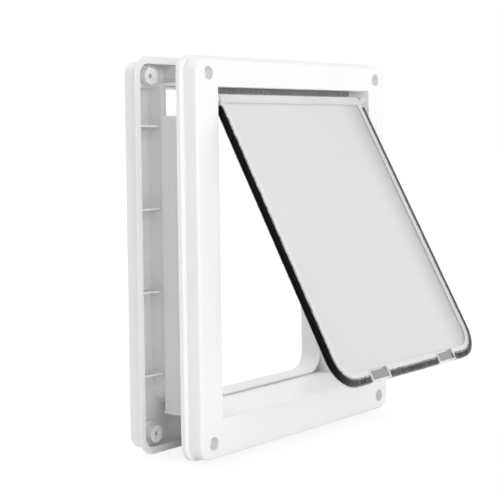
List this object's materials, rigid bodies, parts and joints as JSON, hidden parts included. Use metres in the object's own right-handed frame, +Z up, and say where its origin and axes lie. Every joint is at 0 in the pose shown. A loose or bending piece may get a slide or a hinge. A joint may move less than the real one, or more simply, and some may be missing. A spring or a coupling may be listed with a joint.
{
  "type": "dog door",
  "caption": "White plastic pet door for a wall: a room-side frame with a tunnel, a sliding wall-side frame and a clear swinging flap edged with dark pile.",
  "frame": {"origin": "middle of the four fixing holes, on the face of the room-side frame that seats against the wall", "axes": "+X across the door to the right seen from the room, +Y from the room through the wall, +Z up"},
  "size_m": [0.3304, 0.2343, 0.3924],
  "materials": {
    "frame_plastic": "semi-gloss",
    "clear_plastic": "lightly frosted",
    "rail_plastic": "satin",
    "pile": "dense short pile",
    "grey_pile": "dense short pile",
    "magnet": "sintered",
    "pin_steel": "drawn",
    "screw_steel": "zinc"
  },
  "bodies": {
    "front": {"front_bezel": "frame_plastic", "front_frame": "frame_plastic", "cover_screws": "screw_steel", "lintel_brush": "grey_pile", "hinge_bush_left": "frame_plastic", "hinge_bush_right": "frame_plastic", "sill_magnet_left": "magnet", "sill_magnet_right": "magnet"},
    "rear": {"rear_frame": "frame_plastic"},
    "flap": {"flap_panel": "clear_plastic", "hinge_rail": "rail_plastic", "hinge_pin_left": "pin_steel", "hinge_pin_right": "pin_steel", "flap_pile_left": "pile", "flap_pile_right": "pile", "flap_pile_middle": "pile", "magnet_holder_left": "clear_plastic", "magnet_holder_right": "clear_plastic", "flap_magnet_left": "magnet", "flap_magnet_right": "magnet"}
  },
  "joints": [
    {"name": "flap_swing", "type": "hinge", "parent": "front", "child": "flap", "pos_m": [0, -0.013, 0.1533], "axis": [-1, 0, 0], "range_deg": [-108.5, 51.5]},
    {"name": "rear_slide", "type": "slide", "parent": "front", "child": "rear", "axis": [0, 1, 0], "range_m": [-0.016, 0.002]}
  ]
}
